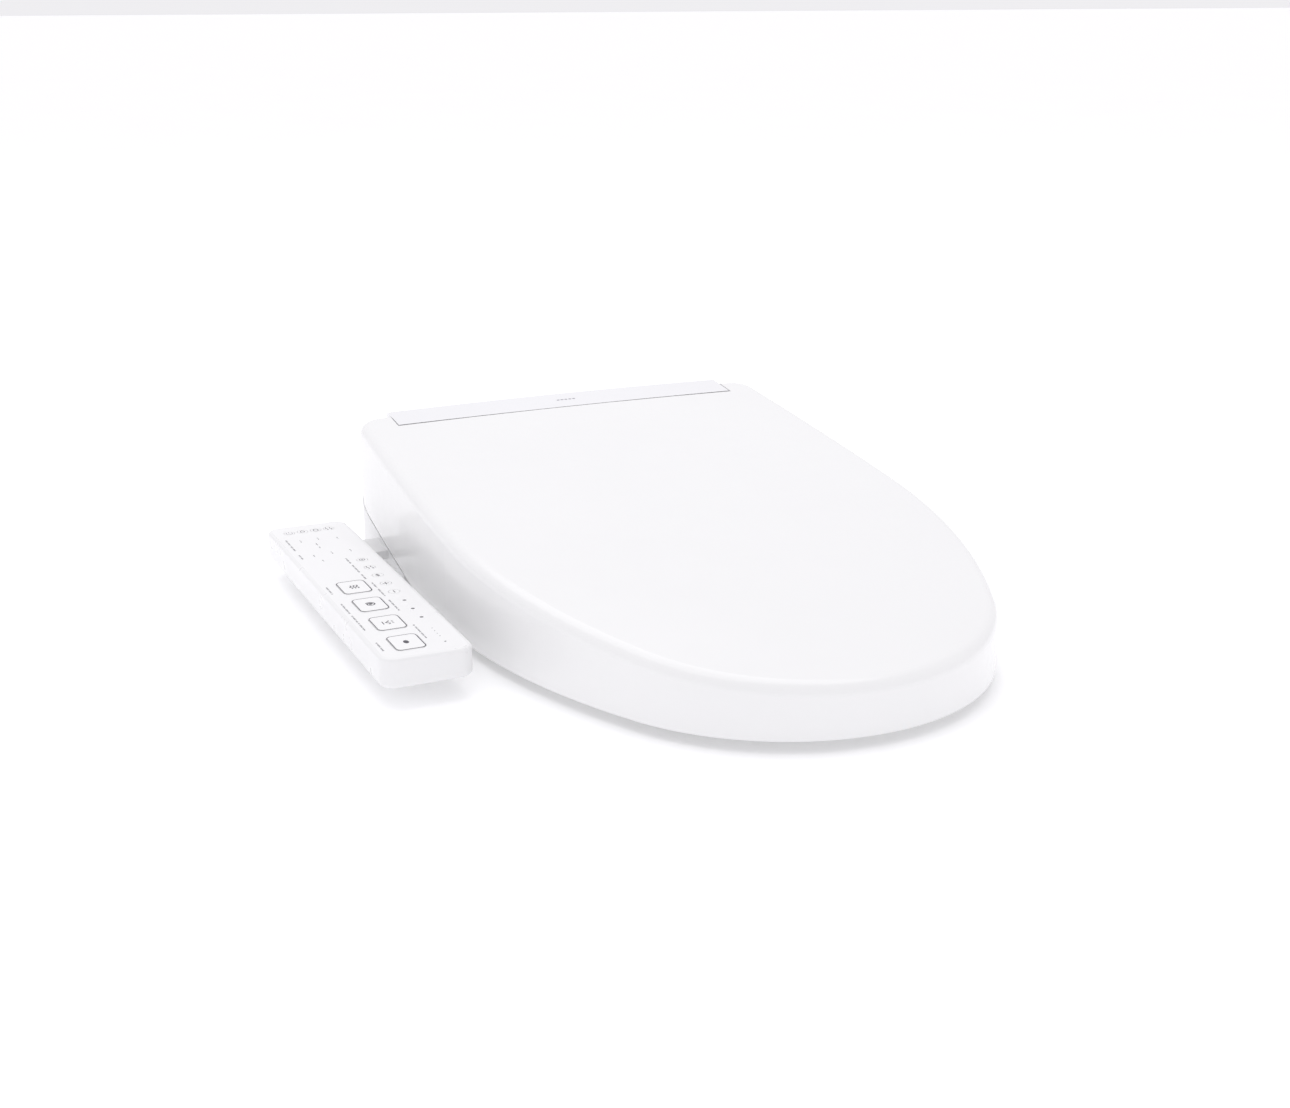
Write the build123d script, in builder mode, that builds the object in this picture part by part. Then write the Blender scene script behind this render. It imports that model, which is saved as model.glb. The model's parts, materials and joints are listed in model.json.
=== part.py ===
from build123d import *
from math import asin, cos, pi, radians, sin, sqrt, tan
import os

os.makedirs("parts", exist_ok=True)

# ---- driving sizes, mm.  +Z up, -Y is the rounded front, origin midway between the two fixing
# bolts on the plane the unit rests on.
half_width = 188.0          # widest half of the lid, at wide_y
rear_half = 181.0           # half of the lid at the rear end of its ears
wide_y = -190.0
tip_y = -486.0
nose_r = 153.0              # the front end of the lid's outline
ear_end_y = 52.0
case_rear_y = 58.0
case_front_y = -84.0
case_half = 151.5           # half width of the raised rear case
rear_corner_r = 20.0

hinge_y = 8.0
hinge_z = 93.5
top_lift = 12.5             # hinge axis to the lid's top surface, square to it
slope = 7.2                 # lid top, degrees
crown_r = 8000.0
lid_wall = 3.0
lid_plate = 3.2
lid_edge_r = 9.0
skirt_low_z = 8.0
skirt_angle = 10.0          # lower edge of the lid near the rear, degrees
ear_r = 59.5                # lower edge of the ears, an arc about the hinge
ear_gap = 1.5
lip_reach = 15.9            # lid plate behind the hinge axis
groove_r = 21.0             # clearance groove about the hinge for the lid's rear lip
seam = 1.0

pin_r = 3.5
pin_fit = 0.05
boss_r = 6.8
seat_arm_in = 158.0
seat_arm_out = 170.0
lid_boss_in = 172.5

floor_z = 3.5               # underside of the case above the bowl rim
plate_t = 2.5
shell_t = 2.5
deck_drop = 5.2             # top of the case below the lid's top surface

seat_gap = 2.5              # seat to the inside of the lid's skirt
seat_low_z = 9.5
seat_rear_z = 46.0
seat_tip_z = 33.0
seat_split_z = 13.5
seat_rear_y = case_front_y - 4.0
opening_half = 104.0
opening_len = 148.0
opening_end_r = 80.0
opening_y = -262.0
seat_corner_r = 12.0
arch_half = 98.0
arch_z = 30.0

arm_gap = 18.0              # lid's side to the arm
arm_width = 64.0
arm_length = 318.0
arm_rear_y = 12.0
arm_low_z = 15.0
arm_top_z = 36.0
arm_corner_r = 11.0
film_t = 0.8
key_w = 21.0
key_l = 28.0
key_r = 5.0
key_gap = 0.35
key_travel = 0.6
key_pitch = 41.0
key_first = 27.0            # centre of the front key from the arm's front end
key_in = 24.5               # centre of the keys from the arm's outer side
soft_r = 4.0
soft_column_in = 48.0
soft_column_first = 129.0
soft_column_pitch = 20.2
soft_row_y = 299.0
soft_row_first = 14.7
soft_row_pitch = 10.6

wand_angle = 22.0
wand_r = 7.0
wand_len = 141.0
wand_travel = 95.0
wand_tip_y = -79.0
wand_tip_z = 20.0
tooth_module = 1.5
pinion_teeth = 10
drive_from_tip = 42.0       # pinion position along the wand, from its tip

bolt_spacing = 140.0
bolt_slot_r = 4.25
bolt_slot_len = 24.0

# ---- shared frames and outlines
side_radius = ((ear_end_y - wide_y) ** 2 + (half_width - rear_half) ** 2) / (2 * (half_width - rear_half))
arm_outer_x = -half_width - arm_gap - arm_width
arm_mid_x = arm_outer_x + arm_width / 2
arm_front_y = arm_rear_y - arm_length
arm_mid_y = (arm_rear_y + arm_front_y) / 2
slope_c = cos(radians(slope))
slope_s = sin(radians(slope))
hinge_frame = Plane(origin=(0, hinge_y, hinge_z), x_dir=(1, 0, 0), z_dir=(0, -slope_s, slope_c))
across = Plane(origin=(0, hinge_y, hinge_z), x_dir=(-1, 0, 0), z_dir=(0, slope_c, slope_s))
big = 600.0


def side_x(y):
    """Half width of the lid's side curve at y."""
    return half_width - side_radius + sqrt(side_radius**2 - (y - wide_y) ** 2)


def end_join(half, length, end_r):
    """Where a side arc starting square at the widest point meets an end arc of radius end_r."""
    mid = length - end_r
    side_r = (half**2 + mid**2 - end_r**2) / (2 * (half - end_r))
    reach = sqrt((side_r - half) ** 2 + mid**2)
    join_x = half - side_r + side_r * (side_r - half) / reach
    return join_x, side_r * mid / reach


def plan_face(rear_y, corner_r, inset):
    """The lid's outline in plan, closed across the rear at rear_y."""
    edge_x = side_x(rear_y)
    join_x, join_reach = end_join(half_width, wide_y - tip_y, nose_r)
    join_y = wide_y - join_reach
    with BuildSketch() as face:
        with BuildLine():
            TangentArc((half_width, wide_y), (edge_x, rear_y), tangent=(0, 1))
            Line((edge_x, rear_y), (-edge_x, rear_y))
            TangentArc((-half_width, wide_y), (-edge_x, rear_y), tangent=(0, 1))
            TangentArc((half_width, wide_y), (join_x, join_y), tangent=(0, -1))
            ThreePointArc((join_x, join_y), (0, tip_y), (-join_x, join_y))
            TangentArc((-half_width, wide_y), (-join_x, join_y), tangent=(0, -1))
        make_face()
        fillet(face.vertices().group_by(Axis.Y)[-1], corner_r)
        if inset:
            offset(amount=-inset, mode=Mode.REPLACE)
    return face.sketch


def opening_face(grow):
    """The seat's opening in plan, grown all round."""
    half = opening_half + grow
    length = opening_len + grow
    join_x, join_y = end_join(half, length, opening_end_r + grow)
    with BuildSketch() as face:
        with BuildLine():
            ThreePointArc((join_x, join_y), (0, length), (-join_x, join_y))
            ThreePointArc((-join_x, join_y), (-half, 0), (-join_x, -join_y))
            ThreePointArc((-join_x, -join_y), (0, -length), (join_x, -join_y))
            ThreePointArc((join_x, -join_y), (half, 0), (join_x, join_y))
        make_face()
    return Pos(0, opening_y) * face.sketch


def crown_block(drop):
    """Everything under the crowned, sloping top surface lowered by drop."""
    rise = top_lift - drop
    edge = rise - big**2 / 4 / (2 * crown_r)
    with BuildPart() as block:
        with BuildSketch(across):
            with BuildLine():
                ThreePointArc((-big / 2, edge), (0, rise), (big / 2, edge))
                Line((big / 2, edge), (big / 2, -big / 2))
                Line((big / 2, -big / 2), (-big / 2, -big / 2))
                Line((-big / 2, -big / 2), (-big / 2, edge))
            make_face()
        extrude(amount=big, both=True)
    return block.part


def above_skirt(shift):
    """Everything above the lid's lower edge lowered by shift, up to the ears' rear end."""
    r = ear_r + shift
    tangent_y = hinge_y + r * sin(radians(skirt_angle))
    tangent_z = hinge_z - r * cos(radians(skirt_angle))
    low_z = skirt_low_z - shift
    low_y = tangent_y - (tangent_z - low_z) / tan(radians(skirt_angle))
    end_y = case_rear_y + 2
    end_z = hinge_z - sqrt(r**2 - (end_y - hinge_y) ** 2)
    mid_turn = (asin((end_y - hinge_y) / r) + radians(skirt_angle)) / 2
    mid_y = hinge_y + r * sin(mid_turn)
    mid_z = hinge_z - r * cos(mid_turn)
    with BuildPart() as block:
        with BuildSketch(Plane.YZ):
            with BuildLine():
                Line((end_y, end_z), (end_y, 160))
                Line((end_y, 160), (tip_y - 20, 160))
                Line((tip_y - 20, 160), (tip_y - 20, low_z))
                Line((tip_y - 20, low_z), (low_y, low_z))
                Line((low_y, low_z), (tangent_y, tangent_z))
                ThreePointArc((tangent_y, tangent_z), (mid_y, mid_z), (end_y, end_z))
            make_face()
        extrude(amount=big / 2, both=True)
    return block.part


def slab(x0, x1, y0, y1, z0, z1):
    """A plain block between two corners."""
    block = Box(x1 - x0, y1 - y0, z1 - z0, mode=Mode.PRIVATE)
    return Pos((x0 + x1) / 2, (y0 + y1) / 2, (z0 + z1) / 2) * block


def rod(radius, x0, x1):
    """A round bar on the hinge axis from x0 to x1."""
    bar = Cylinder(radius, abs(x1 - x0), rotation=(0, 90, 0), mode=Mode.PRIVATE)
    return Pos((x0 + x1) / 2, hinge_y, hinge_z) * bar


def save(part, label):
    """Label one piece and write it out."""
    part.label = label
    export_step(part, f"parts/{label}.step")


# ---- lid
skirt_region = above_skirt(0)
lid_top_block = crown_block(0)
lid_under_block = crown_block(lid_plate)
lid_plan = plan_face(ear_end_y, rear_corner_r, 0)
lid_inner_plan = plan_face(ear_end_y, rear_corner_r, lid_wall)
with BuildPart() as lid_form:
    with BuildSketch():
        add(lid_plan)
    extrude(amount=140)
    add(lid_top_block, mode=Mode.INTERSECT)
    fillet(lid_form.faces().sort_by(Axis.Z)[-1].edges(), lid_edge_r)

with BuildPart() as lid_hollow:
    with BuildSketch(Plane.XY.offset(-1)):
        add(lid_inner_plan)
    extrude(amount=141)
    add(lid_under_block, mode=Mode.INTERSECT)
    fillet(lid_hollow.faces().sort_by(Axis.Z)[-1].edges(), lid_edge_r - lid_wall)

notch_half = case_half + 0.7 + seam
with BuildPart() as lid_fittings:
    for side in (-1, 1):
        with BuildSketch(hinge_frame.offset(-big / 6)):
            with Locations((side * (notch_half + 1.5), lip_reach / 2 + 30)):
                Rectangle(3.0, 60.0)
        extrude(amount=big / 2)
    with BuildSketch(hinge_frame.offset(0)):
        with Locations((0, lip_reach - 1.5)):
            Rectangle(2 * notch_half + 5, 3.0)
    extrude(amount=top_lift)
    for side in (-1, 1):
        near = side * lid_boss_in
        far = side * (side_x(hinge_y) - 1)
        with BuildSketch(hinge_frame):
            with Locations(((near + far) / 2, 0)):
                Rectangle(abs(far - near), 2 * boss_r)
        extrude(amount=top_lift)
        add(rod(boss_r, near, far))
lid_fitted = lid_fittings.part & lid_form.part

with BuildPart() as lid:
    add(lid_form.part)
    add(lid_hollow.part, mode=Mode.SUBTRACT)
    add(lid_fitted)
    with BuildSketch(hinge_frame.offset(-big / 4)):
        with Locations((0, lip_reach + 50)):
            Rectangle(2 * notch_half, 100)
    extrude(amount=big / 2, mode=Mode.SUBTRACT)
    add(skirt_region, mode=Mode.INTERSECT)
    for side in (-1, 1):
        add(rod(pin_r + pin_fit, side * (lid_boss_in - 1), side * 181.0), mode=Mode.SUBTRACT)
save(lid.part, "lid")

# ---- seat ring
seat_inset = lid_wall + seat_gap
seat_fall = (seat_rear_z - seat_tip_z) / (seat_rear_y - tip_y)


def under_seat_top(drop):
    """Everything under the seat's sloping top lowered by drop."""
    top_rear = seat_rear_z - drop
    top_tip = seat_rear_z - drop - seat_fall * (seat_rear_y - tip_y + 20)
    with BuildPart() as block:
        with BuildSketch(Plane.YZ):
            Polygon(
                (seat_rear_y + 30, top_rear + 30 * seat_fall),
                (tip_y - 20, top_tip),
                (tip_y - 20, -10),
                (seat_rear_y + 30, -10),
                align=None,
            )
        extrude(amount=big / 2, both=True)
    return block.part


seat_plan = plan_face(ear_end_y, rear_corner_r, seat_inset)
seat_hollow_plan = plan_face(ear_end_y, rear_corner_r, seat_inset + 9)
seat_heater_plan = plan_face(ear_end_y, rear_corner_r, seat_inset + 14)
opening_plan = opening_face(0)
hollow_opening_plan = opening_face(9)
heater_opening_plan = opening_face(14)
arch_block = slab(-arch_half, arch_half, seat_rear_y - 38, seat_rear_y + 18, 0, arch_z)
seat_top_block = under_seat_top(0)
seat_ceiling_block = under_seat_top(4.0)
heater_under_block = under_seat_top(4.6)

with BuildPart() as seat_form:
    with BuildSketch(Plane.XY.offset(seat_low_z)) as seat_outline:
        add(seat_plan)
        with Locations((0, seat_rear_y + 100)):
            Rectangle(big, 200, mode=Mode.SUBTRACT)
        fillet(seat_outline.vertices().group_by(Axis.Y)[-1], seat_corner_r)
        add(opening_plan, mode=Mode.SUBTRACT)
    extrude(amount=60)
    add(seat_top_block, mode=Mode.INTERSECT)
    fillet(seat_form.faces().filter_by(GeomType.PLANE).sort_by(Axis.Z)[-1].edges(), 7.0)
    add(arch_block, mode=Mode.SUBTRACT)

with BuildPart() as seat_hollow:
    with BuildSketch(Plane.XY.offset(0)):
        add(seat_hollow_plan)
        with Locations((0, seat_rear_y + 60)):
            Rectangle(big, 200, mode=Mode.SUBTRACT)
        add(hollow_opening_plan, mode=Mode.SUBTRACT)
    extrude(amount=60)
    add(seat_ceiling_block, mode=Mode.INTERSECT)

with BuildPart() as seat_heater:
    with BuildSketch(Plane.XY):
        add(seat_heater_plan)
        with Locations((0, seat_rear_y + 50)):
            Rectangle(big, 200, mode=Mode.SUBTRACT)
        add(heater_opening_plan, mode=Mode.SUBTRACT)
    extrude(amount=60)
    add(seat_ceiling_block, mode=Mode.INTERSECT)
    add(heater_under_block, mode=Mode.SUBTRACT)
save(seat_heater.part, "seat_heater")

neck_end = seat_rear_y - 14
with BuildPart() as seat_arms:
    for side in (-1, 1):
        mid_x = side * (seat_arm_in + seat_arm_out) / 2
        with BuildSketch(Plane.YZ.offset(mid_x)):
            with BuildLine():
                Polyline(
                    (hinge_y, hinge_z + boss_r),
                    (neck_end + 6, hinge_z + boss_r - 14.5),
                    (neck_end, hinge_z + boss_r - 21),
                    (neck_end - 3, seat_rear_z - 8),
                    (neck_end + 12, seat_rear_z - 8),
                    (neck_end + 16, hinge_z - boss_r - 20),
                    (neck_end + 28, hinge_z - boss_r - 11),
                    (hinge_y, hinge_z - boss_r),
                    close=True,
                )
            make_face()
        extrude(amount=(seat_arm_out - seat_arm_in) / 2, both=True)
        add(rod(boss_r, side * seat_arm_in, side * seat_arm_out))
        add(rod(pin_r + pin_fit, side * (seat_arm_in - 1), side * (seat_arm_out + 1)), mode=Mode.SUBTRACT)

with BuildPart() as seat_top:
    add(seat_form.part)
    split(bisect_by=Plane.XY.offset(seat_split_z), keep=Keep.TOP)
    add(seat_hollow.part, mode=Mode.SUBTRACT)
    add(seat_arms.part)
save(seat_top.part, "seat_top")

with BuildPart() as seat_bottom:
    add(seat_form.part)
    split(bisect_by=Plane.XY.offset(seat_split_z), keep=Keep.BOTTOM)
save(seat_bottom.part, "seat_bottom")

pad_places = [(-146, -165, 0), (146, -165, 0), (-98, -395, 52), (98, -395, -52)]
for index, (pad_x, pad_y, turn) in enumerate(pad_places, 1):
    with BuildPart() as seat_pad:
        with BuildSketch():
            with Locations(Location((pad_x, pad_y, 0), (0, 0, 90 + turn))):
                SlotOverall(42, 18)
        extrude(amount=seat_low_z)
        fillet(seat_pad.faces().sort_by(Axis.Z)[0].edges(), 2.0)
    save(seat_pad.part, f"seat_pad_{index}")

seat_upper = under_seat_top(-0.5)
for index, (pad_x, pad_y) in enumerate([(-105, -390), (105, -390), (-150, -150), (150, -150)], 1):
    with BuildPart() as lid_pad:
        with Locations((pad_x, pad_y, 60)):
            Cylinder(7.0, 100)
        add(lid_under_block, mode=Mode.INTERSECT)
        add(seat_upper, mode=Mode.SUBTRACT)
    save(lid_pad.part, f"lid_pad_{index}")

# ---- lower case: a housing under the lid's lower edge, closed by a bottom plate
case_region = above_skirt(ear_gap)
deck_region = above_skirt(ear_gap + shell_t)
arm_neck = slab(arm_outer_x + arm_width - 2, -half_width + 12, -40, -4, arm_low_z, arm_low_z + 7)
bay = slab(-24, 24, case_front_y - 5, case_front_y + 4, plate_t, 31)
dryer_mouth = slab(44, 86, case_front_y - 5, case_front_y + 4, 15.5, 29.5)
filter_y = -30.0
filter_z = 14.0
filter_w = 32.0
filter_h = 10.0
filter_bore = slab(case_half - 11.5, half_width + 12,
                   filter_y - filter_w / 2 - 0.5, filter_y + filter_w / 2 + 0.5,
                   filter_z - filter_h / 2 - 0.5, filter_z + filter_h / 2 + 0.5)
release_y = 28.0
release_z = 22.0
release_r = 9.0
pocket_half = 92.0
plate_pocket = slab(-pocket_half, pocket_half, -33, 33, -1, 16)
room_in = pocket_half + 8.0
room_out = case_half - 15.5
room_mid = (room_in + room_out) / 2
inside_z = floor_z + plate_t
case_well = slab(-case_half + 5, case_half - 5,
                 case_front_y + lid_wall, case_rear_y - lid_wall, inside_z, 100)

case_plan = plan_face(case_rear_y, rear_corner_r + 4, 0)
case_inner_plan = plan_face(case_rear_y, rear_corner_r + 4, lid_wall)

with BuildPart() as housing_form:
    with BuildSketch(Plane.XY.offset(floor_z)):
        add(case_plan)
        with Locations((0, case_front_y - 300)):
            Rectangle(big, 600, mode=Mode.SUBTRACT)
    extrude(amount=80)
    add(case_region, mode=Mode.SUBTRACT)

with BuildPart() as housing_hollow:
    with BuildSketch(Plane.XY.offset(0)):
        add(case_inner_plan)
        with Locations((0, case_front_y + lid_wall - 300)):
            Rectangle(big, 600, mode=Mode.SUBTRACT)
    extrude(amount=83)
    add(deck_region, mode=Mode.SUBTRACT)

inlet_x = -room_mid
inlet_z = 24.0
inlet_r = 10.4775           # outside of a half-inch pipe thread
inlet_neck_r = 9.0
inlet_reach = 12.0
gland_x = room_mid
with BuildPart() as lower_case:
    add(housing_form.part)
    add(housing_hollow.part, mode=Mode.SUBTRACT)
    add(case_well, mode=Mode.SUBTRACT)
    add(arm_neck)
    add(bay, mode=Mode.SUBTRACT)
    add(dryer_mouth, mode=Mode.SUBTRACT)
    add(filter_bore, mode=Mode.SUBTRACT)
    with Locations((side_x(release_y), release_y, release_z)):
        Cylinder(release_r + 0.5, 40, rotation=(0, 90, 0), mode=Mode.SUBTRACT)
    with Locations((inlet_x, case_rear_y, inlet_z)):
        Cylinder(inlet_neck_r, 20, rotation=(90, 0, 0), mode=Mode.SUBTRACT)
    with Locations((gland_x, case_rear_y, inlet_z)):
        Cylinder(7.0, 20, rotation=(90, 0, 0), mode=Mode.SUBTRACT)
save(lower_case.part, "lower_case")

with BuildPart() as bottom_plate:
    with BuildSketch(Plane.XY.offset(floor_z)):
        add(case_inner_plan)
        with Locations((0, case_front_y + lid_wall - 300)):
            Rectangle(big, 600, mode=Mode.SUBTRACT)
    extrude(amount=plate_t)
    add(slab(-pocket_half - 3, pocket_half + 3, -36, 36, floor_z, 16 + plate_t))
    add(plate_pocket, mode=Mode.SUBTRACT)
    add(bay, mode=Mode.SUBTRACT)
save(bottom_plate.part, "bottom_plate")

# ---- raised rear case and the fixed rear panel
case_top = crown_block(deck_drop)
case_inner_top = crown_block(deck_drop + shell_t)
with BuildPart() as upper_case:
    add(slab(-case_half, case_half, case_front_y, case_rear_y, 0, 140))
    fillet(upper_case.edges().filter_by(Axis.Z).group_by(Axis.Y)[0], 8.0)
    add(case_top, mode=Mode.INTERSECT)
    add(case_region, mode=Mode.INTERSECT)

with BuildPart() as case_void:
    add(slab(-case_half + shell_t, case_half - shell_t,
             case_front_y + shell_t, case_rear_y - shell_t, -1, 140))
    add(case_inner_top, mode=Mode.INTERSECT)
    add(rod(groove_r + shell_t, -case_half, case_half), mode=Mode.SUBTRACT)

web_turn = -142.0
cheek_in = case_half - 11.5
with BuildPart() as cheeks:
    for side in (-1, 1):
        with BuildSketch(Plane.YZ.offset(side * (cheek_in + case_half) / 2)):
            with Locations(Location((hinge_y, hinge_z, 0), (0, 0, web_turn))):
                Rectangle(groove_r + 2, 10.0, align=(Align.MIN, Align.CENTER))
        extrude(amount=(case_half - cheek_in) / 2, both=True)
        add(rod(boss_r, side * cheek_in, side * case_half))

with BuildPart() as upper_shell:
    add(upper_case.part)
    add(case_void.part, mode=Mode.SUBTRACT)
    add(rod(groove_r, -case_half - 1, case_half + 1), mode=Mode.SUBTRACT)
    add(cheeks.part)
    for side in (-1, 1):
        add(rod(pin_r, side * (cheek_in + 1), side * (case_half + 1)), mode=Mode.SUBTRACT)
    add(bay, mode=Mode.SUBTRACT)
    add(dryer_mouth, mode=Mode.SUBTRACT)
save(upper_shell.part, "upper_case")

with BuildPart() as rear_panel:
    add(slab(-case_half - 0.7, case_half + 0.7, hinge_y + 5, case_rear_y, 60, 140))
    add(lid_top_block, mode=Mode.INTERSECT)
    add(case_top, mode=Mode.SUBTRACT)
    add(rod(groove_r, -case_half - 5, case_half + 5), mode=Mode.SUBTRACT)
    fillet(rear_panel.edges().group_by(Axis.Y)[-1].sort_by(Axis.Z)[-1], 3.5)
save(rear_panel.part, "rear_panel")

for side, name in ((-1, "left"), (1, "right")):
    hinge_pin = rod(pin_r, side * (cheek_in + 1), side * 179.5)
    save(hinge_pin, f"hinge_pin_{name}")
save(rod(6.5, -cheek_in, -cheek_in + 44), "lid_damper")
save(rod(6.5, cheek_in - 44, cheek_in), "seat_damper")

# ---- what the unit is fixed by
with BuildPart() as mount_plate:
    add(slab(-88, 88, -29, 29, 0, 4))
    for side in (-1, 1):
        add(slab(-88, 88, side * 27 - 2, side * 27 + 2, 0, 16))
    with BuildSketch():
        with GridLocations(bolt_spacing, 1, 2, 1):
            SlotOverall(bolt_slot_len, 2 * bolt_slot_r)
    extrude(amount=4, mode=Mode.SUBTRACT)
save(mount_plate.part, "mount_plate")

for foot_y, name in ((46, "rear"), (-70, "front")):
    with BuildPart() as foot:
        with BuildSketch():
            with Locations((0, foot_y)):
                SlotOverall(250, 12)
        extrude(amount=floor_z)
        chamfer(foot.faces().sort_by(Axis.Z)[0].edges(), 0.8)
        add(bay, mode=Mode.SUBTRACT)
    save(foot.part, f"case_foot_{name}")

# ---- water, air and drive parts inside the case
with BuildPart() as water_inlet:
    with Locations((inlet_x, case_rear_y + inlet_reach / 2, inlet_z)):
        Cylinder(inlet_r, inlet_reach, rotation=(90, 0, 0))
    with Locations((inlet_x, case_rear_y - 7, inlet_z)):
        Cylinder(inlet_neck_r, 20, rotation=(90, 0, 0))
    with Locations((inlet_x, case_rear_y, inlet_z)):
        Cylinder(6.0, 40, rotation=(90, 0, 0), mode=Mode.SUBTRACT)
save(water_inlet.part, "water_inlet")

with BuildPart() as cable_gland:
    with Locations((gland_x, case_rear_y + 1, inlet_z)):
        Cylinder(7.0, 14, rotation=(90, 0, 0))
    with Locations((gland_x, case_rear_y + 4, inlet_z)):
        Cylinder(10.0, 8, rotation=(90, 0, 0))
    with Locations((gland_x, case_rear_y, inlet_z)):
        Cylinder(4.0, 30, rotation=(90, 0, 0), mode=Mode.SUBTRACT)
save(cable_gland.part, "cable_gland")

with BuildPart() as inlet_valve:
    add(slab(-room_out, -room_in, 15, case_rear_y - 17, inside_z, 38))
    with Locations((inlet_x, 27, 47)):
        Cylinder((room_out - room_in) * 11 / 36, 18)
    fillet(inlet_valve.edges().filter_by(Axis.Z), 3.0)
save(inlet_valve.part, "inlet_valve")

with BuildPart() as water_heater:
    add(slab(-case_half + 13.5, -62, -74, 8, 22, 66))
    fillet(water_heater.edges().filter_by(Axis.Z), 8.0)
    add(slab(inlet_x + 6, inlet_x + 20, 6, 15.0, 24, 34))
    add(slab(-case_half + 21.5, -70, -66, -40, inside_z, 22))
save(water_heater.part, "water_heater")

with BuildPart() as air_pump:
    with Locations((-44, 24, 40)):
        Cylinder(15.0, 44, rotation=(90, 0, 0))
    add(slab(-56, -32, 6, 42, 16 + plate_t, 32))
save(air_pump.part, "air_pump")

fan_y = 22.0
with BuildPart() as dryer_fan:
    with Locations((70, fan_y, 36)):
        Cylinder(25.0, 22)
    add(slab(56, 84, -10, fan_y, 25, 47))
    with Locations((70, fan_y, 47)):
        Cylinder(11.0, 10, mode=Mode.SUBTRACT)
    add(slab(46, 94, 10, 34, 16 + plate_t, 25))
save(dryer_fan.part, "dryer_fan")

with BuildPart() as dryer_duct:
    with BuildSketch(Plane.XZ.offset(10)):
        with Locations((70, 36)):
            Rectangle(28, 22)
    with BuildSketch(Plane.XZ.offset(-case_front_y - 0.5)):
        with Locations((65, 22)):
            Rectangle(41, 11)
    loft()
    with BuildSketch(Plane.XZ.offset(10)):
        with Locations((70, 36)):
            Rectangle(24, 18)
    with BuildSketch(Plane.XZ.offset(-case_front_y - 0.5)):
        with Locations((65, 22)):
            Rectangle(37, 7)
    loft(mode=Mode.SUBTRACT)
save(dryer_duct.part, "dryer_duct")

with BuildPart() as control_board:
    add(slab(38, 112, -70, 46, 54, 55.6))
    add(slab(46, 66, -50, -30, 55.6, 60))
    add(slab(84, 104, -10, 16, 55.6, 64))
    add(slab(50, 74, 6, 30, 55.6, 62))
    for post_x in (41, 106):
        for post_y in (-66, 42):
            add(slab(post_x - 2.5, post_x + 2.5, post_y - 2.5, post_y + 2.5, inside_z, 54))
save(control_board.part, "control_board")

with BuildPart() as odour_fan:
    with Locations((room_mid + 8, filter_y, 20)):
        Cylinder((room_out - room_in) * 13 / 36, 28)
save(odour_fan.part, "odour_fan")

with BuildPart() as filter_drawer:
    add(slab(case_half - 8.5, side_x(filter_y) + 0.2, filter_y - filter_w / 2, filter_y + filter_w / 2,
             filter_z - filter_h / 2, filter_z + filter_h / 2))
    fillet(filter_drawer.edges().filter_by(Axis.X), 2.0)
    with Locations((side_x(filter_y), filter_y, filter_z)):
        Cylinder(2.5, 22, rotation=(90, 0, 0), mode=Mode.SUBTRACT)
save(filter_drawer.part, "filter_drawer")

with BuildPart() as release_button:
    with Locations((side_x(release_y) - 7, release_y, release_z)):
        Cylinder(release_r, 18, rotation=(0, 90, 0))
    fillet(release_button.faces().sort_by(Axis.X)[-1].edges(), 1.5)
save(release_button.part, "release_button")

# ---- wash nozzle: a wand with a rack on its back, driven by a small pinion
wand_c = cos(radians(wand_angle))
wand_s = sin(radians(wand_angle))
wand_tip = (0, wand_tip_y, wand_tip_z)
wand_line = Plane(origin=wand_tip, x_dir=(1, 0, 0), z_dir=(0, wand_c, wand_s))
wand_side = Plane(origin=wand_tip, x_dir=(0, wand_c, wand_s), z_dir=(1, 0, 0))
nose_len = 18.0
rack_w = 5.0
pitch_step = pi * tooth_module
pinion_pitch_r = tooth_module * pinion_teeth / 2
rack_pitch_h = 9.6
rack_root_h = rack_pitch_h - 1.9
tooth_h = 3.2
pinion_h = rack_pitch_h + pinion_pitch_r
rack_teeth = int(wand_travel / pitch_step) + 1

with BuildPart() as wand:
    with BuildSketch(wand_line.offset(nose_len)):
        Circle(wand_r)
        Circle(wand_r - 2.5, mode=Mode.SUBTRACT)
    extrude(amount=wand_len - nose_len)
    with BuildSketch(wand_side):
        with Locations(((wand_len + drive_from_tip - 6) / 2, (rack_root_h + wand_r - 2) / 2)):
            Rectangle(wand_len - drive_from_tip + 6, rack_root_h - wand_r + 2)
        for index in range(-1, rack_teeth):
            with Locations((drive_from_tip + (index + 0.5) * pitch_step, rack_root_h)):
                Polygon((-1.5, -0.1), (-0.6, tooth_h), (0.6, tooth_h), (1.5, -0.1), align=None)
    extrude(amount=rack_w / 2, both=True)
save(wand.part, "wand")

with BuildPart() as nozzle_tip:
    with BuildSketch(wand_line):
        Circle(wand_r)
    extrude(amount=nose_len)
    fillet(nozzle_tip.faces().sort_by(Axis.Y)[0].edges(), 4.0)
    for hole_at in (7.0, 12.0):
        with Locations(wand_side.location * Pos(hole_at, wand_r, 0)):
            Cylinder(1.0, 6, rotation=(90, 0, 0), mode=Mode.SUBTRACT)
save(nozzle_tip.part, "nozzle_tip")

pinion_place = wand_side.location * Pos(drive_from_tip, pinion_h, 0)
with BuildPart() as pinion_blank:
    with BuildSketch():
        Circle(pinion_pitch_r - 1.7)
        with PolarLocations(0, pinion_teeth, start_angle=-90):
            Polygon((4.0, -1.4), (pinion_pitch_r + 1.2, -0.5),
                    (pinion_pitch_r + 1.2, 0.5), (4.0, 1.4), align=None)
    extrude(amount=2.0, both=True)
    Cylinder(2.0, 14, align=(Align.CENTER, Align.CENTER, Align.MIN))
save(pinion_place * pinion_blank.part, "drive_pinion")

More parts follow.
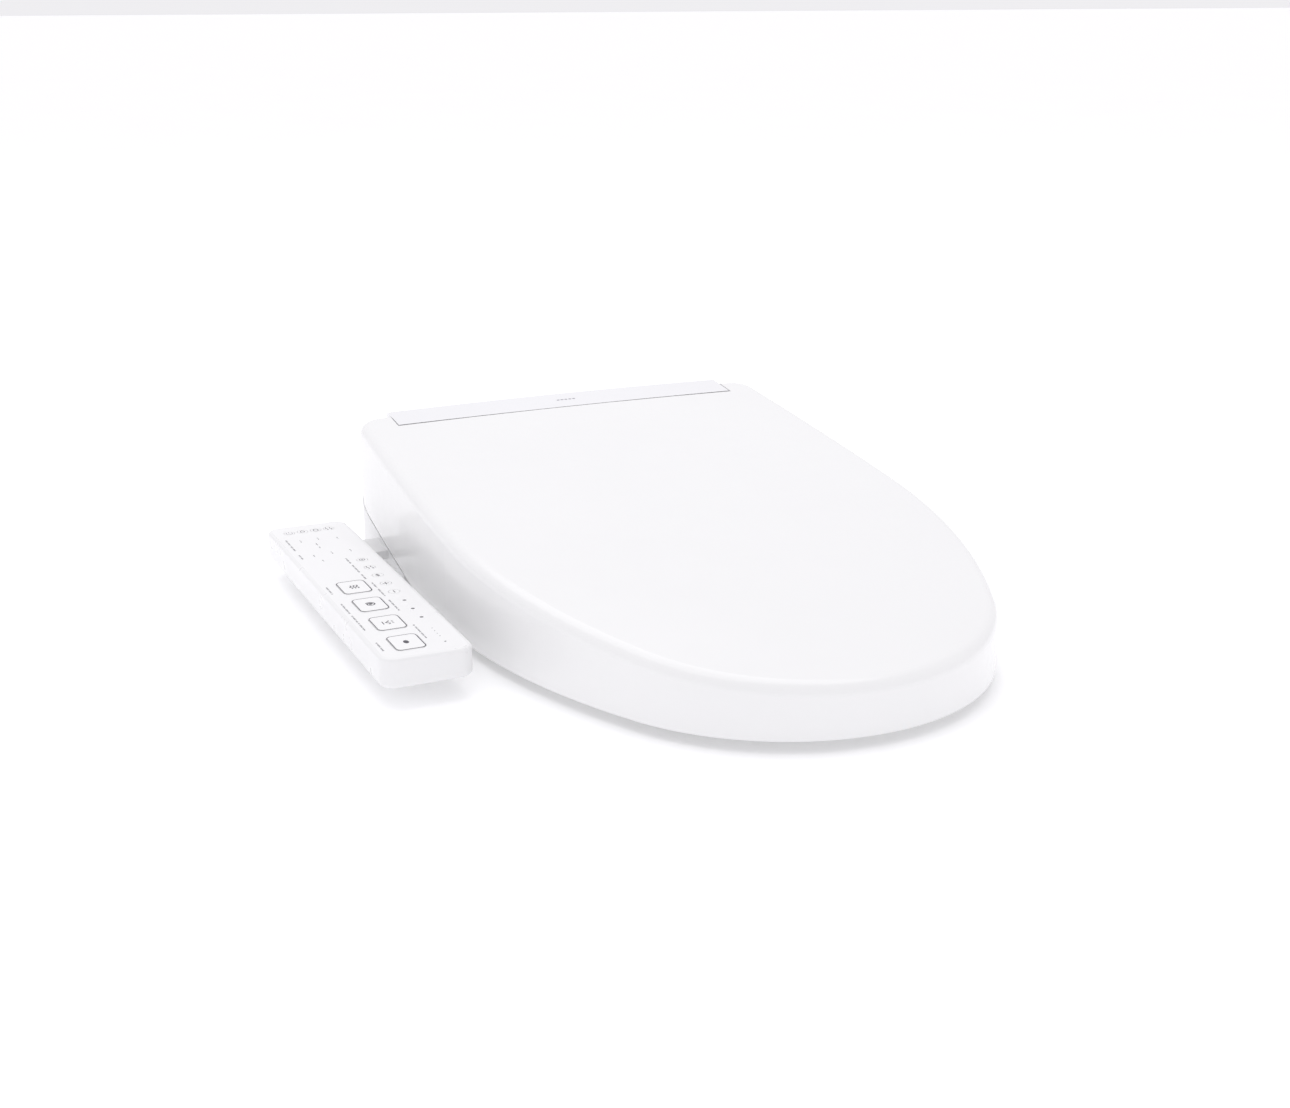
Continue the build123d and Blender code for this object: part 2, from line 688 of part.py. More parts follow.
with BuildPart() as motor_blank:
    with Locations((0, 0, 9)):
        Cylinder(11.0, 26, align=(Align.CENTER, Align.CENTER, Align.MIN))
    with Locations((0, 0, 9)):
        Cylinder(2.0 + pin_fit, 6, align=(Align.CENTER, Align.CENTER, Align.MIN), mode=Mode.SUBTRACT)
motor_set = pinion_place * motor_blank.part
motor_y = wand_tip_y + drive_from_tip * wand_c - pinion_h * wand_s
motor_z = wand_tip_z + drive_from_tip * wand_s + pinion_h * wand_c
with BuildPart() as nozzle_motor:
    add(motor_set)
    add(slab(16, 30, motor_y - 5, motor_y + 5, inside_z, motor_z - 8))
save(nozzle_motor.part, "nozzle_motor")

with BuildPart() as nozzle_guide:
    with BuildSketch(wand_line.offset(8)):
        Circle(wand_r + 3)
    extrude(amount=100)
    add(slab(-8, 8, -34, -27, 16 + plate_t, 36))
    add(slab(-8, 8, -64, -56, inside_z, 22))
    add(slab(-8, 8, 0, 7, 16 + plate_t, 48))
    with BuildSketch(wand_line):
        Circle(wand_r + 0.4)
    extrude(amount=130, mode=Mode.SUBTRACT)
    with BuildSketch(wand_line):
        with Locations((0, -wand_r - 3)):
            Rectangle(rack_w + 2, 2 * wand_r)
    extrude(amount=130, mode=Mode.SUBTRACT)
save(nozzle_guide.part, "nozzle_guide")

# ---- control arm
film_inset = 3.0
plate_low_z = arm_top_z - 3.0
split_z = arm_low_z + 8.0
board_top_z = arm_top_z - 7.7


def on_arm(from_outer, from_front):
    """A point on the arm, measured in from its outer side and back from its front end."""
    return (arm_outer_x + from_outer, arm_front_y + from_front)


key_points = [on_arm(key_in, key_first + index * key_pitch) for index in range(4)]
soft_points = [on_arm(soft_column_in, soft_column_first + index * soft_column_pitch) for index in range(5)]
soft_points += [on_arm(soft_row_first + index * soft_row_pitch, soft_row_y) for index in range(4)]
lens_points = [on_arm(49.0, 69.5 + index * 19.2) for index in range(3)]
lens_r = 1.4

with BuildPart() as key_holes:
    with BuildSketch(Plane.XY.offset(plate_low_z - 3)):
        with Locations(*key_points):
            RectangleRounded(key_w + 2 * key_gap, key_l + 2 * key_gap, key_r + key_gap)
        with Locations(*soft_points):
            Circle(soft_r + key_gap)
        with Locations(*lens_points):
            Circle(lens_r)
    extrude(amount=10)

with BuildPart() as arm_form:
    with BuildSketch(Plane.XY.offset(arm_low_z)):
        with Locations((arm_mid_x, arm_mid_y)):
            RectangleRounded(arm_width, arm_length, arm_corner_r)
    extrude(amount=arm_top_z - arm_low_z)
    fillet(arm_form.faces().sort_by(Axis.Z)[-1].edges(), 2.4)
    fillet(arm_form.faces().sort_by(Axis.Z)[0].edges(), 3.0)

with BuildPart() as arm_void:
    with BuildSketch(Plane.XY.offset(arm_low_z + 2.5)):
        with Locations((arm_mid_x, arm_mid_y)):
            RectangleRounded(arm_width - 5, arm_length - 5, arm_corner_r - 2.5)
    extrude(amount=plate_low_z - arm_low_z - 2.5)

with BuildPart() as panel_film:
    with BuildSketch(Plane.XY.offset(arm_top_z - film_t)):
        with Locations((arm_mid_x, arm_mid_y)):
            RectangleRounded(arm_width - 2 * film_inset, arm_length - 2 * film_inset,
                             arm_corner_r - film_inset)
    extrude(amount=film_t)
    add(key_holes.part, mode=Mode.SUBTRACT)
save(panel_film.part, "panel_film")

with BuildPart() as arm_upper:
    add(arm_form.part)
    split(bisect_by=Plane.XY.offset(split_z), keep=Keep.TOP)
    add(arm_void.part, mode=Mode.SUBTRACT)
    add(key_holes.part, mode=Mode.SUBTRACT)
    add(panel_film.part, mode=Mode.SUBTRACT)
save(arm_upper.part, "arm_upper")

with BuildPart() as arm_lower:
    add(arm_form.part)
    split(bisect_by=Plane.XY.offset(split_z), keep=Keep.BOTTOM)
    add(arm_void.part, mode=Mode.SUBTRACT)
    add(arm_neck, mode=Mode.SUBTRACT)
save(arm_lower.part, "arm_lower")

with BuildPart() as key_board:
    with BuildSketch(Plane.XY.offset(board_top_z - 1.6)):
        with Locations((arm_mid_x, arm_mid_y)):
            RectangleRounded(arm_width - 10, arm_length - 10, arm_corner_r - 6)
    extrude(amount=1.6)
    for post_b in (8, arm_length / 2, arm_length - 8):
        post_x, post_y = on_arm(12, post_b)
        add(slab(post_x - 3, post_x + 3, post_y - 3, post_y + 3, arm_low_z + 2.5, board_top_z - 1))
save(key_board.part, "key_board")

key_names = ["stop", "rear_wash", "front_wash", "dryer"]
for (key_x, key_y), name in zip(key_points, key_names):
    with BuildPart() as key:
        with BuildSketch(Plane.XY.offset(board_top_z + key_travel + 0.1)):
            with Locations((key_x, key_y)):
                RectangleRounded(key_w, key_l, key_r)
        extrude(amount=arm_top_z + 0.3 - board_top_z - key_travel - 0.1)
        fillet(key.faces().sort_by(Axis.Z)[-1].edges(), 0.6)
        with BuildSketch(Plane.XY.offset(plate_low_z - 2.0)):
            with Locations((key_x, key_y)):
                RectangleRounded(key_w + 2, key_l + 2, key_r + 1)
        extrude(amount=1.4)
    save(key.part, f"key_{name}")

for index, (key_x, key_y) in enumerate(soft_points, 1):
    with BuildPart() as soft_key:
        with Locations((key_x, key_y, board_top_z + key_travel + 0.1)):
            Cylinder(soft_r, arm_top_z - board_top_z - key_travel - 0.1,
                     align=(Align.CENTER, Align.CENTER, Align.MIN))
        with Locations((key_x, key_y, plate_low_z - 2.0)):
            Cylinder(soft_r + 0.7, 1.4, align=(Align.CENTER, Align.CENTER, Align.MIN))
    save(soft_key.part, f"soft_key_{index}")

for index, (lens_x, lens_y) in enumerate(lens_points, 1):
    with BuildPart() as lens:
        with Locations((lens_x, lens_y, board_top_z)):
            Cylinder(lens_r, arm_top_z - board_top_z, align=(Align.CENTER, Align.CENTER, Align.MIN))
    save(lens.part, f"indicator_{index}")
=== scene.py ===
import json
import math

import bmesh
import bpy
from mathutils import Matrix, Vector


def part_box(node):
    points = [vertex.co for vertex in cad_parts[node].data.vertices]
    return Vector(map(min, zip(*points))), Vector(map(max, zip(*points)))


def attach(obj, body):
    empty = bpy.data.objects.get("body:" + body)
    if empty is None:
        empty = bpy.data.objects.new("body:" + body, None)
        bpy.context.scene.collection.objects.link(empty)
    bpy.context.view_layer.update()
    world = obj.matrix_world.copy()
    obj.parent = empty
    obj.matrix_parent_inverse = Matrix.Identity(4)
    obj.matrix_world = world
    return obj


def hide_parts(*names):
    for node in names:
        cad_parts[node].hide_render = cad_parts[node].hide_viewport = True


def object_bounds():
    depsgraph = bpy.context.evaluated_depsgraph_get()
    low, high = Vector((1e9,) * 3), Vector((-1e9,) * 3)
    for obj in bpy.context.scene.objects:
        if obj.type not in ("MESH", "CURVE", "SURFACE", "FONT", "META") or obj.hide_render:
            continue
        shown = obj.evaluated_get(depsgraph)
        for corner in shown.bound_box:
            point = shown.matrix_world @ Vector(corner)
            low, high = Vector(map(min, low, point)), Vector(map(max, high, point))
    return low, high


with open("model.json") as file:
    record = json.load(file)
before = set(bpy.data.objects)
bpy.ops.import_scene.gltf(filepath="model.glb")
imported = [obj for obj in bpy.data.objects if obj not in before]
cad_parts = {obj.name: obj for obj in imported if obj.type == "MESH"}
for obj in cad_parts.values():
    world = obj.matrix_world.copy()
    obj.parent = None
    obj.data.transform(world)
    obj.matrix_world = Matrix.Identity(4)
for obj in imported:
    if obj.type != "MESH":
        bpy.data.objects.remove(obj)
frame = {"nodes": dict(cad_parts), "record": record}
cad_low, cad_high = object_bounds()
MM = 0.001


# ---------------------------------------------------------------- materials
def new_material(name):
    """An empty node material with its Principled shader and object coordinates."""
    mat = bpy.data.materials.new(name)
    mat.use_nodes = True
    tree = mat.node_tree
    shader = tree.nodes["Principled BSDF"]
    coords = tree.nodes.new("ShaderNodeTexCoord")
    return mat, tree, shader, coords.outputs["Object"]


def noise(tree, coords, scale, detail=3.0, stretch=None):
    if stretch:
        mapping = tree.nodes.new("ShaderNodeMapping")
        mapping.inputs["Scale"].default_value = stretch
        tree.links.new(coords, mapping.inputs["Vector"])
        coords = mapping.outputs["Vector"]
    node = tree.nodes.new("ShaderNodeTexNoise")
    node.inputs["Scale"].default_value = scale
    node.inputs["Detail"].default_value = detail
    tree.links.new(coords, node.inputs["Vector"])
    return node.outputs["Fac"]


def colour_between(tree, fac, low, high, socket, start=0.3, end=0.7):
    ramp = tree.nodes.new("ShaderNodeValToRGB")
    ramp.color_ramp.elements[0].position = start
    ramp.color_ramp.elements[1].position = end
    ramp.color_ramp.elements[0].color = (*low, 1)
    ramp.color_ramp.elements[1].color = (*high, 1)
    tree.links.new(fac, ramp.inputs["Fac"])
    tree.links.new(ramp.outputs["Color"], socket)


def rough_between(tree, fac, low, high, shader):
    spread = tree.nodes.new("ShaderNodeMapRange")
    spread.inputs["From Min"].default_value = 0.3
    spread.inputs["From Max"].default_value = 0.7
    spread.inputs["To Min"].default_value = low
    spread.inputs["To Max"].default_value = high
    tree.links.new(fac, spread.inputs["Value"])
    tree.links.new(spread.outputs["Result"], shader.inputs["Roughness"])


def bumped(tree, fac, strength, distance, shader):
    bump = tree.nodes.new("ShaderNodeBump")
    bump.inputs["Strength"].default_value = strength
    bump.inputs["Distance"].default_value = distance
    tree.links.new(fac, bump.inputs["Height"])
    tree.links.new(bump.outputs["Normal"], shader.inputs["Normal"])


def shade(colour, factor):
    return tuple(min(1.0, c * factor) for c in colour)


def plastic(name, colour, rough=(0.16, 0.24), grain=420.0, depth=0.00003, coat=0.35, tone=0.975):
    """Moulded plastic: faint tone drift, uneven gloss and the fine texture of its mould."""
    mat, tree, shader, coords = new_material(name)
    colour_between(tree, noise(tree, coords, 7.0), shade(colour, tone), colour, shader.inputs["Base Color"])
    rough_between(tree, noise(tree, coords, 46.0, 4.0), *rough, shader)
    bumped(tree, noise(tree, coords, grain, 2.0), 0.35, depth, shader)
    shader.inputs["IOR"].default_value = 1.52
    shader.inputs["Coat Weight"].default_value = coat
    shader.inputs["Coat Roughness"].default_value = 0.06
    return mat


def metal(name, colour, rough, stretch):
    """Turned or drawn metal, with its fine tool lines along one direction."""
    mat, tree, shader, coords = new_material(name)
    lines = noise(tree, coords, 900.0, 2.0, stretch)
    colour_between(tree, noise(tree, coords, 60.0), shade(colour, 0.86), colour, shader.inputs["Base Color"])
    rough_between(tree, lines, *rough, shader)
    bumped(tree, lines, 0.3, 0.00004, shader)
    shader.inputs["Metallic"].default_value = 1.0
    return mat


def rubber(name, colour):
    mat, tree, shader, coords = new_material(name)
    colour_between(tree, noise(tree, coords, 140.0, 5.0), shade(colour, 0.8), shade(colour, 1.15),
                   shader.inputs["Base Color"])
    rough_between(tree, noise(tree, coords, 200.0), 0.62, 0.82, shader)
    bumped(tree, noise(tree, coords, 1100.0, 4.0), 0.5, 0.00008, shader)
    return mat


def board(name, colour):
    """Lacquered circuit board: copper runs show through as lighter cells."""
    mat, tree, shader, coords = new_material(name)
    cells = tree.nodes.new("ShaderNodeTexVoronoi")
    cells.distance = "MANHATTAN"
    cells.feature = "F1"
    cells.inputs["Scale"].default_value = 170.0
    tree.links.new(coords, cells.inputs["Vector"])
    colour_between(tree, cells.outputs["Distance"], colour, shade(colour, 1.9),
                   shader.inputs["Base Color"], 0.35, 0.5)
    rough_between(tree, noise(tree, coords, 90.0), 0.25, 0.4, shader)
    bumped(tree, cells.outputs["Distance"], 0.3, 0.0001, shader)
    return mat


WHITE = (0.86, 0.86, 0.862)
SLOT_MATERIALS = {
    "lid_white": plastic("lid_gloss", WHITE, (0.20, 0.27), 260.0, 0.00002, 0.25, 0.988),
    "seat_white": plastic("seat_gloss", WHITE, (0.16, 0.24), 300.0, 0.00002, 0.4, 0.985),
    "case_white": plastic("case_satin", (0.83, 0.83, 0.835), (0.30, 0.40), 900.0, 0.00006, 0.1),
    "panel_white": plastic("panel_gloss", (0.845, 0.845, 0.865), (0.18, 0.26), 420.0, 0.00003, 0.3),
    "arm_white": plastic("arm_satin", (0.85, 0.85, 0.855), (0.26, 0.36), 900.0, 0.00005, 0.15),
    "film": plastic("film_satin", (0.885, 0.885, 0.89), (0.32, 0.42), 1500.0, 0.00002, 0.05),
    "key_white": plastic("key_satin", (0.895, 0.895, 0.898), (0.28, 0.36), 1300.0, 0.00003, 0.1),
    "lens_dark": plastic("lens_dark", (0.035, 0.035, 0.05), (0.08, 0.14), 500.0, 0.00001, 0.6, 0.8),
    "pad_rubber": rubber("pad_rubber", (0.62, 0.62, 0.61)),
    "black_rubber": rubber("black_rubber", (0.035, 0.035, 0.036)),
    "steel": metal("steel_turned", (0.62, 0.62, 0.64), (0.18, 0.34), (6.0, 1.0, 1.0)),
    "brass": metal("brass_turned", (0.70, 0.50, 0.22), (0.20, 0.36), (1.0, 6.0, 1.0)),
    "foil": metal("heater_foil", (0.80, 0.80, 0.81), (0.24, 0.42), (1.0, 1.0, 6.0)),
    "damper_grey": plastic("damper_grey", (0.12, 0.125, 0.135), (0.42, 0.55), 1100.0, 0.0001, 0.0, 0.85),
    "bracket_grey": plastic("bracket_grey", (0.33, 0.34, 0.36), (0.45, 0.6), 1000.0, 0.0001, 0.0, 0.9),
    "inner_black": plastic("inner_black", (0.03, 0.03, 0.033), (0.4, 0.55), 900.0, 0.0001, 0.0, 0.8),
    "tank_ivory": plastic("tank_ivory", (0.66, 0.63, 0.54), (0.35, 0.5), 700.0, 0.0001, 0.0, 0.93),
    "board_green": board("board_green", (0.02, 0.11, 0.045)),
    "wand_white": plastic("wand_gloss", (0.86, 0.87, 0.885), (0.12, 0.2), 380.0, 0.00002, 0.4),
    "gear_white": plastic("gear_white", (0.78, 0.78, 0.72), (0.4, 0.5), 900.0, 0.00005, 0.0, 0.94),
    "filter_grey": plastic("filter_grey", (0.42, 0.44, 0.47), (0.4, 0.5), 900.0, 0.00008, 0.0, 0.92),
}
INK = plastic("print_ink", (0.07, 0.066, 0.085), (0.45, 0.55), 1500.0, 0.00001, 0.0, 0.8)
FAINT_INK = plastic("print_faint", (0.36, 0.35, 0.39), (0.45, 0.55), 1500.0, 0.00001, 0.0, 0.9)

for entry in frame["record"]["subparts"]:
    mesh = frame["nodes"][entry["node"]].data
    mesh.materials.clear()
    mesh.materials.append(SLOT_MATERIALS[entry["material_slot"]])


# ---------------------------------------------------------------- mesh helpers
def finish_piece(name, bm, material, body, bevel=0.0):
    """Turn a bmesh into a named piece that rides on a CAD body."""
    bmesh.ops.remove_doubles(bm, verts=bm.verts, dist=1e-7)
    bmesh.ops.recalc_face_normals(bm, faces=bm.faces)
    mesh = bpy.data.meshes.new(name)
    bm.to_mesh(mesh)
    bm.free()
    for face in mesh.polygons:
        face.use_smooth = False
    obj = bpy.data.objects.new(name, mesh)
    bpy.context.scene.collection.objects.link(obj)
    obj.data.materials.append(material)
    if bevel:
        edge = obj.modifiers.new("edge", "BEVEL")
        edge.width = bevel
        edge.segments = 2
        edge.limit_method = "ANGLE"
    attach(obj, body)
    return obj


def prism(bm, outline, low, high, place=None):
    """A closed prism on a convex outline, between two heights; place maps a local point to the frame."""
    place = place or Matrix.Identity(4)
    bottom = [bm.verts.new(place @ Vector((x, y, low))) for x, y in outline]
    top = [bm.verts.new(place @ Vector((x, y, high))) for x, y in outline]
    bm.faces.new(bottom)
    bm.faces.new(top)
    for i in range(len(outline)):
        j = (i + 1) % len(outline)
        bm.faces.new((bottom[i], bottom[j], top[j], top[i]))


def ribbon(bm, points, width, low, high, place=None, closed=False):
    """A raised line of one width along points, open with square ends or closed into a loop."""
    place = place or Matrix.Identity(4)
    count = len(points)
    rows = []
    for i, (x, y) in enumerate(points):
        before = points[(i - 1) % count] if closed or i else points[i]
        after = points[(i + 1) % count] if closed or i < count - 1 else points[i]
        along = Vector((after[0] - before[0], after[1] - before[1])).normalized()
        side = Vector((-along.y, along.x)) * width / 2
        corners = [(x + side.x, y + side.y), (x - side.x, y - side.y)]
        rows.append([bm.verts.new(place @ Vector((*c, z))) for z in (low, high) for c in corners])
    pairs = list(zip(rows, rows[1:])) + ([(rows[-1], rows[0])] if closed else [])
    for a, b in pairs:
        for i, j in ((0, 1), (1, 3), (3, 2), (2, 0)):
            bm.faces.new((a[i], a[j], b[j], b[i]))
    if not closed:
        for row in (rows[0], rows[-1]):
            bm.faces.new((row[0], row[1], row[3], row[2]))


def circle(x, y, r, r2=None, count=24):
    r2 = r2 or r
    return [(x + r * math.cos(2 * math.pi * i / count), y + r2 * math.sin(2 * math.pi * i / count))
            for i in range(count)]


def rounded(x, y, w, h, r, count=6):
    points = []
    for cx, cy, start in ((w / 2 - r, h / 2 - r, 0), (r - w / 2, h / 2 - r, 90),
                          (r - w / 2, r - h / 2, 180), (w / 2 - r, r - h / 2, 270)):
        for i in range(count + 1):
            a = math.radians(start + 90 * i / count)
            points.append((x + cx + r * math.cos(a), y + cy + r * math.sin(a)))
    return points


def lathe(bm, profile, place, count=48):
    """A closed ring turned from a closed (radius, along) profile about the local Z axis."""
    rings = []
    for i in range(count):
        a = 2 * math.pi * i / count
        rings.append([bm.verts.new(place @ Vector((r * math.cos(a), r * math.sin(a), z)))
                      for r, z in profile])
    for i in range(count):
        a, b = rings[i], rings[(i + 1) % count]
        for k in range(len(profile)):
            m = (k + 1) % len(profile)
            bm.faces.new((a[k], b[k], b[m], a[m]))


# ---------------------------------------------------------------- printed marks on the control arm
arm_low, arm_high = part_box("arm_upper")
film_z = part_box("panel_film")[1].z
SINK = 0.02 * MM
PROUD = 0.035 * MM
LAYOUT_LENGTH = 286 * MM
arm_step = (arm_high.y - arm_low.y) / LAYOUT_LENGTH


def on_arm(a, b):
    """A point on the arm: a in from its outer side, b back from its front end, in mm of the drawn layout."""
    return arm_low.x + a * MM, arm_low.y + b * arm_step * MM


def centre(node):
    low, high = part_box(node)
    return (low.x + high.x) / 2, (low.y + high.y) / 2, high.z


TICK_WIDTH = 0.55
TICK_STEP = 0.95
WORD_GAP = 1.9


def word(bm, a, b0, b1, seed, height=1.5):
    """A stand-in for a printed word: a row of short ticks across the line, with no letters in it."""
    b = b0 + 0.3
    step = 0
    while b < b1 - 0.2:
        tall = height * (0.72 if (seed + step) % 3 else 1.0)
        x, y = on_arm(a, b)
        tick = rounded(x, y, tall * MM, TICK_WIDTH * MM, 0.2 * MM, 2)
        prism(bm, tick, film_z - SINK, film_z + PROUD)
        step += 1
        b += TICK_STEP if (seed + step) % 6 else WORD_GAP


LEFT_WORDS = [(6.2, 16, 31), (6.2, 54, 68), (6.2, 69.5, 83), (6.2, 87, 107), (6.2, 127, 142),
              (7.5, 240, 253), (7.5, 227, 238), (7.5, 206, 216)]
RIGHT_WORDS = [(39.2, 26, 48), (39.2, 80, 102), (39.2, 110, 125), (39.2, 128, 139),
               (37.6, 148, 158), (37.6, 163, 180), (37.6, 184, 196)]
SMALL_WORDS = [(17.5, 244.5, 249.5), (31.6, 246, 251), (46, 242, 246.5), (27, 233.5, 238.5), (27, 226, 230),
               (17.5, 209, 214), (32, 210.5, 215.5), (46.6, 210.5, 215.5), (20.6, 196, 200)]
marks = bmesh.new()
for seed, (a, b0, b1) in enumerate(LEFT_WORDS + RIGHT_WORDS):
    word(marks, a, b0, b1, seed)
for seed, (a, b0, b1) in enumerate(SMALL_WORDS):
    word(marks, a, b0, b1, seed + 3, 1.1)
for a, b in [(39.2, 50.5), (48.6, 16)]:
    prism(marks, circle(*on_arm(a, b), 0.75 * MM), film_z - SINK, film_z + PROUD)
for index in range(4):
    prism(marks, circle(*on_arm(48.6, 26 + 5 * index), 0.4 * MM, count=12), film_z - SINK, film_z + PROUD)
finish_piece("panel_words", marks, INK, "unit")


def wave(x, y, length, swing, turns, along_y=True, count=20):
    points = []
    for i in range(count + 1):
        t = i / count
        u = (t - 0.5) * length
        v = swing * math.sin(2 * math.pi * turns * t)
        points.append((x + v, y + u) if along_y else (x + u, y + v))
    return points


def spiral(x, y, r0, r1, turns, count=30):
    points = []
    for i in range(count + 1):
        t = i / count
        r = r0 + (r1 - r0) * t
        a = 2 * math.pi * turns * t
        points.append((x + r * math.cos(a), y + r * math.sin(a)))
    return points


OUTLINE_INSET = 3.0 * MM


def key_print(node, draw, outline=True, material=INK, scale=1.0):
    """The printed outline and sign on one key, which travel with it."""
    x, y, z = centre(node)
    low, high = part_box(node)
    bm = bmesh.new()
    draw(bm, x, y, z - SINK, z + PROUD)
    bmesh.ops.scale(bm, vec=(scale, scale, 1.0), space=Matrix.Translation((-x, -y, 0)), verts=bm.verts)
    if outline:
        w, h = high.x - low.x - OUTLINE_INSET, high.y - low.y - OUTLINE_INSET
        ribbon(bm, rounded(x, y, w, h, 3.6 * MM), 0.6 * MM, z - SINK, z + PROUD, closed=True)
    finish_piece(f"{node}_print", bm, material, node)


def sign_stop(bm, x, y, low, high):
    prism(bm, circle(x, y, 1.9 * MM, 3.0 * MM), low, high)


def sign_rear(bm, x, y, low, high):
    ribbon(bm, wave(x, y, 6.6 * MM, 1.3 * MM, 1.4), 0.8 * MM, low, high)
    for i in (-1, 0, 1):
        ribbon(bm, [(x + 2.6 * MM, y + i * 1.7 * MM), (x + 4.0 * MM, y + i * 2.2 * MM)], 0.6 * MM, low, high)
    ribbon(bm, [(x - 3.4 * MM, y - 2.8 * MM), (x - 3.4 * MM, y + 2.8 * MM)], 0.7 * MM, low, high)


def sign_front(bm, x, y, low, high):
    ribbon(bm, spiral(x, y, 1.6 * MM, 3.7 * MM, 1.4), 1.0 * MM, low, high)
    prism(bm, circle(x, y, 1.2 * MM), low, high)


def sign_dryer(bm, x, y, low, high):
    for i in (-1, 0, 1):
        ribbon(bm, wave(x + i * 2.3 * MM, y, 7.0 * MM, 0.7 * MM, 1.5), 0.85 * MM, low, high)


KEY_SIGNS = {"key_stop": sign_stop, "key_rear_wash": sign_rear,
             "key_front_wash": sign_front, "key_dryer": sign_dryer}
for node, draw in KEY_SIGNS.items():
    key_print(node, draw)


def small_plus(bm, x, y, low, high):
    ribbon(bm, [(x - 1.9 * MM, y), (x + 1.9 * MM, y)], 0.5 * MM, low, high)
    ribbon(bm, [(x, y - 1.9 * MM), (x, y + 1.9 * MM)], 0.5 * MM, low, high + 0.002 * MM)


def small_minus(bm, x, y, low, high):
    ribbon(bm, [(x, y - 1.9 * MM), (x, y + 1.9 * MM)], 0.5 * MM, low, high)


def small_move(bm, x, y, low, high):
    for side in (-1, 1):
        tip = side * 2.2 * MM
        root = y + side * 0.5 * MM
        prism(bm, [(x - 1.3 * MM, root), (x, y + tip), (x + 1.3 * MM, root)], low, high)


def small_swing(bm, x, y, low, high):
    for side in (-1, 1):
        ribbon(bm, wave(x + side * 1.2 * MM, y, 4.6 * MM, 0.5 * MM, 1.0, count=12), 0.45 * MM, low, high)


def small_drop(bm, x, y, low, high):
    points = []
    for i in range(24):
        a = 2 * math.pi * i / 24
        pull = 1.0 + 0.75 * max(0.0, math.cos(a)) ** 5
        points.append((x + 1.25 * MM * math.sin(a), y + 1.35 * MM * pull * math.cos(a)))
    ribbon(bm, points, 0.4 * MM, low, high, closed=True)


def small_power(bm, x, y, low, high):
    arc = [(x + 1.9 * MM * math.sin(math.radians(t)), y + 1.9 * MM * math.cos(math.radians(t)))
           for t in range(40, 321, 20)]
    ribbon(bm, arc, 0.45 * MM, low, high)
    ribbon(bm, [(x, y + 0.4 * MM), (x, y + 2.3 * MM)], 0.45 * MM, low, high)


def small_seat(bm, x, y, low, high):
    ribbon(bm, circle(x, y, 1.5 * MM, 2.1 * MM, 20), 0.45 * MM, low, high, closed=True)


def small_ring(bm, x, y, low, high):
    ribbon(bm, circle(x, y, 1.6 * MM, count=20), 0.4 * MM, low, high, closed=True)
    prism(bm, circle(x, y, 0.5 * MM, count=12), low, high)


SOFT_SIGN_SCALE = 1.3
SOFT_SIGNS = [small_minus, small_plus, small_move, small_swing, small_ring,
              small_power, small_drop, small_seat, small_swing]
for index, draw in enumerate(SOFT_SIGNS, 1):
    ink = FAINT_INK if draw is small_power else INK
    key_print(f"soft_key_{index}", draw, outline=False, material=ink, scale=SOFT_SIGN_SCALE)

# ---------------------------------------------------------------- small generic mark on the rear panel
panel_low, panel_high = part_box("rear_panel")
panel_mesh = frame["nodes"]["rear_panel"]


def drop_on(obj, x, y):
    """The height and normal of a CAD node's surface under a point."""
    hit, place, normal, _ = obj.ray_cast(Vector((x, y, 1.0)), Vector((0, 0, -1)))
    if not hit:
        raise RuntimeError(f"nothing of {obj.name} lies under {x:.3f}, {y:.3f}")
    return place, normal


mark_x = 2 * MM
mark_y = (panel_low.y + panel_high.y) / 2 - 1 * MM
surface, normal = drop_on(panel_mesh, mark_x, mark_y)
turn = normal.to_track_quat("Z", "Y").to_matrix().to_4x4()
mark_place = Matrix.Translation(surface) @ turn
mark = bmesh.new()
for i in range(5):
    bar = rounded((i - 2) * 3.6 * MM, 0, 2.6 * MM, 2.2 * MM, 0.9 * MM, 3)
    prism(mark, bar, -SINK, PROUD, mark_place)
finish_piece("panel_mark", mark, FAINT_INK, "unit")

# -------------------------------------------------- water inlet with its thread, and the cord gland
inlet_low, inlet_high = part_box("water_inlet")
inlet_r = (inlet_high.x - inlet_low.x) / 2
inlet_x = (inlet_low.x + inlet_high.x) / 2
inlet_z = (inlet_low.z + inlet_high.z) / 2
case_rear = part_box("lower_case")[1].y
back = Matrix.Translation((inlet_x, 0, inlet_z)) @ Matrix.Rotation(math.radians(-90), 4, "X")
PITCH = 1.814 * MM
thread = [(6.0 * MM, inlet_low.y), (9.0 * MM, inlet_low.y), (9.0 * MM, case_rear), (inlet_r, case_rear),
          (inlet_r, case_rear + 1.5 * MM)]
along = case_rear + 2.0 * MM
while along + PITCH < inlet_high.y - 0.4 * MM:
    thread += [(inlet_r - 1.0 * MM, along), (inlet_r - 0.05 * MM, along + 0.4 * PITCH),
               (inlet_r - 0.05 * MM, along + 0.55 * PITCH)]
    along += PITCH
thread += [(inlet_r - 1.0 * MM, inlet_high.y - 0.5 * MM), (inlet_r - 1.5 * MM, inlet_high.y),
           (6.6 * MM, inlet_high.y), (6.0 * MM, inlet_high.y - 0.6 * MM)]
bm = bmesh.new()
lathe(bm, thread, back)
inlet = finish_piece("water_inlet_thread", bm, SLOT_MATERIALS["brass"], "unit")
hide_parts("water_inlet")

